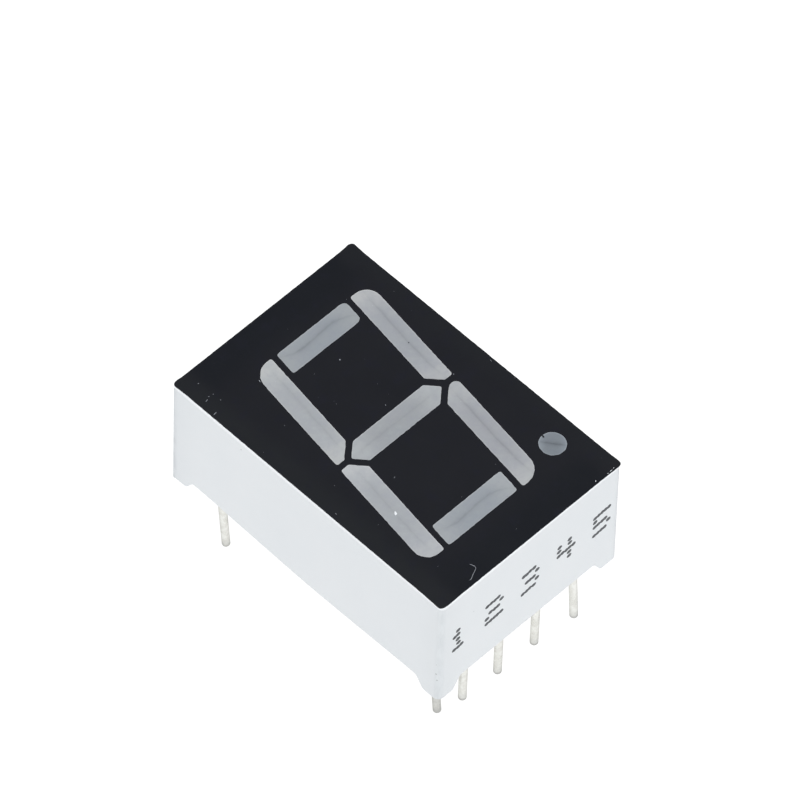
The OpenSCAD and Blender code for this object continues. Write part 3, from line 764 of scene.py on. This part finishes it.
tin = Finish("tinned_wire", Metallic=1.0, Specular_IOR_Level=0.5, Specular_Tint=(0.62, 0.62, 0.61, 1.0))
at = tin.local()
x, y, z = tin.axes(at)
drawn = tin.noise(tin.local(size=(1, 1, 6)), 9, 3, 0.6)
mottle = tin.noise(at, 2.3, 4, 0.65)
# How far a place stands above the tip of its pin
short_x, short_y = pin_places[SHORT_PIN - 1].tolist()
on_short_pin = 1 - tin.step(((x - short_x) ** 2 + (y - short_y) ** 2) ** 0.5, 0.35, 0.5)
rise = z - on_short_pin * SHORTER[SHORT_PIN] + mottle * 0.12
# Painted shade near the table: darker towards each pin's tip
painted_tip_shade = (1 - tin.step(rise, 0.1, 0.4)) * 0.6 + (1 - tin.step(rise, 0.2, 1.1)) * 0.33
blots = tin.specks(at, 3.4, 0.11, 0.25)
# Painted shade on the lower end of the first pin
painted_pin_one_shade = (1 - tin.step(x + y * 0.2, -5.4, -4.9)) * (1 - tin.step(z, 1.6, 3.0))
metal = tin.mix(tin.step(mottle, 0.35, 0.65), srgb(219, 219, 214), srgb(235, 236, 232))
metal = tin.mix(tin.step(drawn, 0.55, 0.75) * 0.25, metal, srgb(198, 198, 194))
metal = tin.mix(blots * 0.22, metal, srgb(182, 181, 176))
metal = tin.mix(painted_tip_shade + painted_pin_one_shade * 0.4, metal, srgb(168, 168, 167))
tin.set({
    "Base Color": metal,
    "Roughness": 0.22 + mottle * 0.14 + painted_tip_shade * 0.12,
})
tin.bump(mottle * 0.6 + drawn * 0.4, 0.004)
for number, place in enumerate(pin_places, 1):
    node = f"pin_{number}"
    heading, root, tip = BENDS.get(number, (0, 0, 0))
    rings = pin_rings(node, heading, root, tip, SHORTER.get(number, 0)) + np.append(place, 0)
    mesh = mesh_of(node, rings.reshape(-1, 3), sleeve(len(rings), PIN_SIDES))
    put(f"wire_{node}", mesh, tin, (node,), sharp=70)

# ==== Resin back ====
# Clear, faintly amber epoxy poured over the back of the board and left to cure level.
# It wets the walls and creeps a little way down each pin, and a few small bubbles stay in it.
RESIN_EDGE_Z = 6.85
RESIN_SINK = 0.12        # how far it has sunk away from the walls
RESIN_CORNER = 0.5
RESIN_COLUMNS, RESIN_ROWS = 121, 189
PIN_CREEP = 0.17         # how far it has crept down a pin
BUBBLES = 14
CLOTH = 12.5             # threads of the laminate's cloth, in radians a millimetre
resin_low, resin_high = low_high("potting")
back_of_board = low_high("circuit_board")[0][2]
across, along = np.meshgrid(
    np.linspace(resin_low[0], resin_high[0], RESIN_COLUMNS),
    np.linspace(resin_low[1], resin_high[1], RESIN_ROWS), indexing="ij")
# The square corners are drawn in to quarter discs: q becomes q max(q) / |q|
reach = np.stack([abs(across) - (resin_high[0] - RESIN_CORNER), abs(along) - (resin_high[1] - RESIN_CORNER)])
inside = np.maximum(reach, 1e-9)
pull = np.where((reach > 0).all(0), inside.max(0) / np.hypot(*inside), 1.0)
across = np.where(reach[0] > 0, np.sign(across) * (resin_high[0] - RESIN_CORNER + inside[0] * pull), across)
along = np.where(reach[1] > 0, np.sign(along) * (resin_high[1] - RESIN_CORNER + inside[1] * pull), along)
to_wall = np.minimum(resin_high[0] - abs(across), resin_high[1] - abs(along))
to_pin = np.hypot(
    across[..., None] - pin_places[:, 0], along[..., None] - pin_places[:, 1]).min(-1) - PIN_R
dice = np.random.default_rng(7)
bubble_x = dice.uniform(-5, 5, BUBBLES)
bubble_y = dice.uniform(-8.2, 8.2, BUBBLES)
bubble_r = dice.uniform(0.07, 0.16, BUBBLES)
to_bubble = np.hypot(across[..., None] - bubble_x, along[..., None] - bubble_y) / bubble_r
# The level: an edge, a sink and a creep that fade over their reach, round dips and a slow swell
underside = (
    RESIN_EDGE_Z + RESIN_SINK * (1 - np.exp(-to_wall / 0.22))
    - PIN_CREEP * np.exp(-np.maximum(to_pin, 0) / 0.16)
    + 0.05 * np.exp(-to_bubble ** 2).sum(-1)
    + 0.006 * np.sin(across * 1.3 + 0.4) * np.sin(along * 0.9 + across * 0.35)
)


def slab(x, y, low, high):
    """A closed solid between two heights over a grid of places: two sheets, and a wall round them."""
    rows, columns = x.shape
    points = np.vstack([np.column_stack([x.ravel(), y.ravel(), z.ravel()]) for z in (low, high)])
    row, column = np.meshgrid(np.arange(rows - 1), np.arange(columns - 1), indexing="ij")
    here = (row * columns + column).ravel()
    sheet = np.column_stack([here, here + columns, here + columns + 1, here + 1])
    index = np.arange(rows * columns).reshape(rows, columns)
    edge = np.concatenate([index[:-1, 0], index[-1, :-1], index[:0:-1, -1], index[0, :0:-1]])
    beyond, count = np.roll(edge, -1), rows * columns
    wall = np.column_stack([edge, beyond, beyond + count, edge + count])
    return points, [*sheet[:, ::-1].tolist(), *(sheet + count).tolist(), *wall.tolist()]


def glass_weave(finish, x, y):
    """The cloth in the laminate, from 0 to 1: (1 + sin kx sin ky) / 2."""
    return finish.math("SINE", x * CLOTH) * finish.math("SINE", y * CLOTH) * 0.5 + 0.5


points, faces = slab(across, along, underside, np.full_like(underside, back_of_board))
amber = Finish("back_epoxy", Specular_IOR_Level=0.5, Coat_Roughness=0.04)
at = amber.local()
x, y, _ = amber.axes(at)
weave = glass_weave(amber, x, y)
murk = amber.noise(at, 0.4, 4, 0.6, 0.8)
swirl = amber.noise(amber.local(turn=0.5, size=(1, 2.4, 1)), 0.8, 4, 0.6, 1.5)
seeds = amber.specks(at, 2.0, 0.12, 0.12)
pour = amber.mix(murk, srgb(206, 200, 168), srgb(216, 212, 188))
pour = amber.mix(weave * 0.14, pour, srgb(176, 170, 128))
pour = amber.mix(amber.step(swirl, 0.45, 0.75) * 0.3, pour, srgb(228, 226, 210))
pour = amber.mix(seeds * 0.5, pour, srgb(240, 240, 232))
amber.set({
    "Base Color": pour,
    "Roughness": 0.14 + murk * 0.14,
    "Coat Weight": 0.5 + swirl * 0.4,
})
amber.bump(swirl * 0.8 + seeds * 0.2, 0.02)
put("back_resin", mesh_of("back_resin", points, faces), amber, ("potting",), sharp=60)

# ==== Board and wiring ====
# Behind the face, a thin laminate carries the copper, and on it the eight chips in silver glue with
# their aluminium wires. The heads of the pins are soldered to the copper.


def dress(finish, *nodes):
    """Gives CAD nodes a finish and leaves their meshes alone."""
    for node in nodes:
        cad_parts[node].material_slots[0].material = finish.material


laminate = Finish("laminate", Specular_IOR_Level=0.45)
at = laminate.local()
x, y, _ = laminate.axes(at)
weave = glass_weave(laminate, x, y)
murk = laminate.noise(at, 0.8, 3)
laminate.set({
    "Base Color": laminate.mix(murk * 0.5 + weave * 0.3, srgb(206, 196, 138), srgb(178, 170, 110)),
    "Roughness": 0.5 + murk * 0.15,
})
laminate.bump(weave, 0.01)
dress(laminate, "circuit_board")

copper = Finish("copper", Metallic=1.0)
at = copper.local()
tarnish = copper.noise(at, 1.7, 4, 0.6)
copper.set({
    "Base Color": copper.mix(tarnish, srgb(222, 150, 110), srgb(168, 104, 74)),
    "Roughness": 0.25 + tarnish * 0.3,
})
copper.bump(copper.noise(at, 20, 2), 0.004)
dress(copper, "copper_tracks")

glue = Finish("silver_glue", Metallic=0.7)
at = glue.local()
flakes = glue.noise(at, 45, 2, 0.7)
glue.set({
    "Base Color": glue.mix(flakes, srgb(150, 150, 154), srgb(206, 206, 210)),
    "Roughness": 0.4 + flakes * 0.25,
})
glue.bump(flakes, 0.006)
dress(glue, "chip_glue")

crystal = Finish("crystal", Specular_IOR_Level=0.8)
at = crystal.local()
z = crystal.axes(at)[2]
layer = crystal.step(z + crystal.noise(at, 9, 2) * 0.01, 9.15, 9.17)
crystal.set({
    "Base Color": crystal.mix(layer, srgb(120, 92, 50), srgb(206, 160, 84)),
    "Roughness": 0.25 + crystal.noise(at, 30, 3) * 0.3,
})
crystal.bump(crystal.noise(at, 30, 3), 0.003)
dress(crystal, *[f"chip_{letter}" for letter in LETTERS], "chip_point")

drawn_wire = Finish("bond_wire", Metallic=1.0)
at = drawn_wire.local()
draw = drawn_wire.noise(at, 60, 3, 0.6)
drawn_wire.set({
    "Base Color": drawn_wire.mix(draw, srgb(214, 215, 219), srgb(240, 240, 242)),
    "Roughness": 0.2 + draw * 0.2,
})
drawn_wire.bump(draw, 0.002)
dress(drawn_wire, *[f"bond_wire_{letter}" for letter in LETTERS], "bond_wire_point")

solder = Finish("solder", Metallic=1.0)
at = solder.local()
frost = solder.noise(at, 8, 4, 0.65)
solder.set({
    "Base Color": solder.mix(frost, srgb(176, 178, 182), srgb(214, 215, 216)),
    "Roughness": 0.2 + frost * 0.3,
})
solder.bump(frost, 0.01)
dress(solder, "pin_solder")

# ==== Pin numbers ====
# The numbers 1 to 5 stand over their pins on the lower wall, in dots of thin grey ink that a jet
# laid in five rows while the part ran past it, so that neighbouring dots flow into strokes.
GLYPHS = [
    "..#.. .##.. ..#.. ..#.. .###.",
    "####. ....# .###. #.... #####",
    "####. ....# .###. ....# ####.",
    "#..#. #..#. ##### ...#. ...#.",
    "##### #.... ####. ....# ####.",
]
GLYPH_TOP_Z = 11.0
ROW_PITCH = 0.37
DOT_PITCH = 0.25
DOT_HALF_W = 0.165
DOT_HALF_H = 0.14
DOT_SIDES = 20
ROW_TILT = 0.09          # the part's speed leans the rows
# The rings of a drop: its share of the full size, and how far it stands off the wall
DOT_RINGS = ((1.0, -0.02), (1.0, 0.002), (0.85, 0.006), (0.45, 0.008))


def repeated(faces, count, step):
    """The faces of count like shells, each step points after the one before."""
    return [[corner + shell * step for corner in face] for shell in range(count) for face in faces]


dots = np.array([
    ((digit - 2) * PIN_PITCH + (column - 2) * DOT_PITCH,
     GLYPH_TOP_Z - row * ROW_PITCH + (column - 2) * DOT_PITCH * ROW_TILT)
    for digit, glyph in enumerate(GLYPHS)
    for row, line in enumerate(glyph.split())
    for column, dot in enumerate(line) if dot == "#"
])
dice = np.random.default_rng(11)
dots += dice.uniform(-0.025, 0.025, dots.shape)
turn = np.linspace(0, 2 * np.pi, DOT_SIDES, endpoint=False)
spatter = 1 + dice.uniform(-0.07, 0.07, (len(dots), DOT_SIDES))
rings = []
for scale, lift in DOT_RINGS:
    mark_x = dots[:, :1] + DOT_HALF_W * scale * spatter * np.cos(turn)
    mark_z = dots[:, 1:] + DOT_HALF_H * scale * spatter * np.sin(turn)
    mark_y = case_low[1] + (mark_z - case_low[2]) * DRAFT - lift
    rings.append(np.stack([mark_x, mark_y, mark_z], axis=-1))
points = np.stack(rings, axis=1).reshape(-1, 3)
faces = repeated(sleeve(len(rings), DOT_SIDES), len(dots), len(rings) * DOT_SIDES)
jet = Finish("jet_ink", Roughness=0.6, Specular_IOR_Level=0.3)
at = jet.local()
spread = jet.noise(at, 9, 3, 0.6)
jet.set({
    "Base Color": jet.mix(jet.step(spread, 0.3, 0.75), srgb(74, 76, 79), srgb(104, 107, 110)),
    "Roughness": 0.55 + spread * 0.2,
})
jet.bump(spread, 0.003)
put("pin_numbers", mesh_of("pin_numbers", points, faces), jet, sharp=50)

# ==== Dust ====
# A hooked pale fibre, a few flecks and hair scratches lie on the face, white chips show at the rim
# of the ink, and a few drops of ink have run over the edges of the wells.
FACE_Z = ink_high[2]
THREAD_STEPS = 60
FLECK_SIDES = 12
STREWN = 22
FIBRE_R = 0.011
# The rings of a crumb: its share of the full size, and its height over the crumb's
FLECK_RINGS = ((1.0, -0.3), (1.0, 0.35), (0.8, 0.8), (0.4, 1.0))


def thread(path, radius, sides=10):
    """A round thread along a path: path + r (cos t n + sin t z), with n level and square to it."""
    path = np.array(path, float)
    walk = np.arange(len(path))
    fine = np.linspace(0, len(path) - 1, THREAD_STEPS)
    middle = np.column_stack([np.interp(fine, walk, path[:, axis]) for axis in range(3)])
    kernel = np.array([1, 4, 6, 4, 1]) / 16
    for _ in range(2):
        middle[2:-2] = sum(k * middle[i:len(middle) - 4 + i] for i, k in enumerate(kernel))
    tangent = np.gradient(middle, axis=0)
    normal = np.column_stack([-tangent[:, 1], tangent[:, 0], np.zeros(len(middle))])
    normal /= np.linalg.norm(normal, axis=1)[:, None]
    to_end = np.minimum(np.arange(THREAD_STEPS), np.arange(THREAD_STEPS)[::-1])
    thick = radius * np.minimum(1, 0.25 + to_end / 8)[:, None, None]
    turn = np.linspace(0, 2 * np.pi, sides, endpoint=False)[:, None]
    ring = np.cos(turn) * normal[:, None, :] + np.sin(turn) * np.array([0, 0, 1.0])
    return (middle[:, None, :] + thick * ring).reshape(-1, 3), sleeve(THREAD_STEPS, sides)


lint = Finish("lint", Specular_IOR_Level=0.3)
at = lint.local()
tuft = lint.noise(at, 6, 3, 0.6)
lint.set({
    "Base Color": lint.mix(tuft, srgb(120, 124, 132), srgb(186, 190, 196)),
    "Roughness": 0.6 + tuft * 0.2,
})
lint.bump(tuft, 0.004)
points, faces = thread([
    (-3.43, -8.51, FACE_Z + 0.014), (-3.36, -8.66, FACE_Z + 0.02), (-3.33, -8.80, FACE_Z + 0.028),
    (-3.37, -8.92, FACE_Z + 0.03), (-3.52, -8.99, FACE_Z + 0.028), (-3.78, -9.10, FACE_Z + 0.02),
    (-3.99, -9.21, FACE_Z + 0.014), (-4.11, -9.19, FACE_Z + 0.012),
], FIBRE_R)
put("fibre", mesh_of("fibre", points, faces), lint, sharp=80)


def flecks(name, places, seed):
    """Flat crumbs: each an uneven outline (a cos t, b sin t) in shrinking rings, turned on the face.

    A place is x, y, z, half length, half width, turn in degrees and height."""
    places = np.array(places, float)
    dice = np.random.default_rng(seed)
    turn = np.linspace(0, 2 * np.pi, FLECK_SIDES, endpoint=False)
    uneven = dice.uniform(0.72, 1.12, (len(places), FLECK_SIDES))
    u, v = uneven * np.cos(turn) * places[:, 3:4], uneven * np.sin(turn) * places[:, 4:5]
    a = np.radians(places[:, 5:6])
    rings = []
    for scale, lift in FLECK_RINGS:
        rings.append(np.stack([
            places[:, :1] + scale * (u * np.cos(a) - v * np.sin(a)),
            places[:, 1:2] + scale * (u * np.sin(a) + v * np.cos(a)),
            np.repeat(places[:, 2:3] + lift * places[:, 6:7], FLECK_SIDES, axis=1),
        ], axis=-1))
    faces = repeated(sleeve(len(rings), FLECK_SIDES), len(places), len(rings) * FLECK_SIDES)
    return mesh_of(name, np.stack(rings, axis=1).reshape(-1, 3), faces)


dice = np.random.default_rng(3)
strewn = np.column_stack([
    dice.uniform(-6.0, 6.0, STREWN), dice.uniform(-9.2, 9.2, STREWN), np.full(STREWN, FACE_Z),
    dice.uniform(0.010, 0.018, STREWN), dice.uniform(0.006, 0.012, STREWN),
    dice.uniform(0, 180, STREWN), np.full(STREWN, 0.006),
])
scratches = [
    (-6.06, 6.74, FACE_Z, 0.13, 0.016, 8, 0.004), (-5.80, 7.60, FACE_Z, 0.09, 0.011, 12, 0.004),
    (-5.55, 7.70, FACE_Z, 0.05, 0.010, 170, 0.004), (-5.37, 8.64, FACE_Z, 0.04, 0.018, 120, 0.004),
    (-5.27, 7.14, FACE_Z, 0.026, 0.016, 60, 0.004), (-5.29, 7.66, FACE_Z, 0.018, 0.014, 20, 0.004),
    (6.13, -0.54, FACE_Z, 0.07, 0.010, 80, 0.004), (4.2, 0.17, FACE_Z, 0.05, 0.014, 20, 0.004),
    (0.41, 1.19, FACE_Z, 0.04, 0.02, 70, 0.005),
    (-2.37, -2.24, FACE_Z, 0.07, 0.010, 10, 0.004), (-6.01, -1.79, FACE_Z, 0.05, 0.012, 95, 0.004),
    (0.74, 4.76, FACE_Z, 0.045, 0.035, 90, 0.02), (-3.06, 6.63, FACE_Z, 0.07, 0.022, 68, 0.006),
]
put("dust", flecks("dust", np.vstack([strewn, scratches]), 5), lint, sharp=80)
put("rim_chips", flecks("rim_chips", [
    (5.63, -9.44, FACE_Z, 0.08, 0.016, 2, 0.002), (5.84, -9.42, FACE_Z, 0.05, 0.012, 10, 0.002),
    (5.40, -9.45, FACE_Z, 0.05, 0.012, -4, 0.002), (4.63, -9.35, FACE_Z, 0.045, 0.02, 30, 0.002),
    (-3.85, -3.80, CASTING_EDGE, 0.13, 0.075, 62, 0.015),
], 6), plastic, sharp=80)
put("ink_runs", flecks("ink_runs", [
    (-0.73, -7.105, FACE_Z - 0.008, 0.2, 0.035, 2, 0.006),
    (4.70, -5.62, FACE_Z - 0.008, 0.10, 0.045, 70, 0.006),
    (3.99, 3.14, CASTING_EDGE - 0.01, 0.045, 0.03, 30, 0.006),
    (0.85, -6.95, CASTING_EDGE - 0.01, 0.04, 0.03, 0, 0.006),
], 8), ink, sharp=80)
